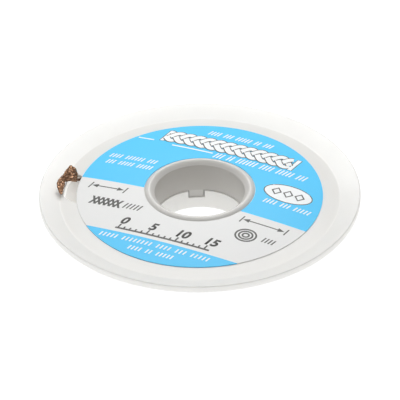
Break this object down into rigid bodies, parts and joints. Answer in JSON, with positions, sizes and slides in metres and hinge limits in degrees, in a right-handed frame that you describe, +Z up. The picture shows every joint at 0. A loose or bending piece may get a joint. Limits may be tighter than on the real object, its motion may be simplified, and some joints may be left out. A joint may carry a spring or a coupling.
{
  "type": "desoldering braid",
  "caption": "Woven copper desoldering braid wound in a flat round case with a raised hub, a flared rim, a ring-shaped label and an outlet for the braid's free end.",
  "frame": {"origin": "on the hub's axis at the underside of the foot, which the case stands on", "axes": "+Z up the hub's axis, -X towards the outlet of the braid, -Y towards the viewer of the picture"},
  "size_m": [0.0522, 0.0522, 0.0101],
  "materials": {
    "translucent_plastic": "semi-gloss, slightly translucent",
    "label_print": "satin printed paper",
    "copper_braid": "bright woven copper"
  },
  "bodies": {
    "root": {"case_top": "translucent_plastic", "case_base": "translucent_plastic", "label": "label_print", "braid_coil": "copper_braid", "braid_end": "copper_braid"}
  },
  "joints": []
}
